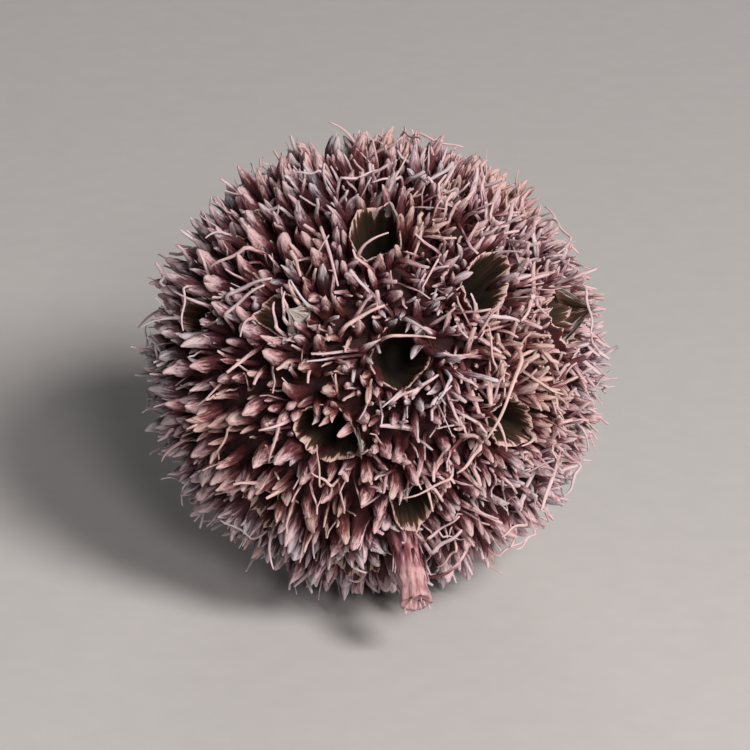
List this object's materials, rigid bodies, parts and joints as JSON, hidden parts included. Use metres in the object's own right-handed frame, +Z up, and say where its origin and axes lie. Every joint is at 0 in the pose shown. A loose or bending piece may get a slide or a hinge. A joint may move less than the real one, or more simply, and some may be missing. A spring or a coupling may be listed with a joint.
{
  "type": "sweetgum seed ball",
  "caption": "Round woody sweetgum fruit head with blunt spines, open lozenge-shaped capsules with curved beaks, and a short stalk stub.",
  "frame": {"origin": "on the surface the ball rests on, straight under the head's centre", "axes": "+Z up from the resting spot through the head's centre; the front with the most open capsules and the stalk stub looks along -Y"},
  "size_m": [0.0302, 0.03, 0.0293],
  "materials": {
    "dry_wood": "dry, matt and fibrous, pinkish brown with paler tips"
  },
  "bodies": {
    "root": {"seed_ball": "dry_wood"}
  },
  "joints": []
}
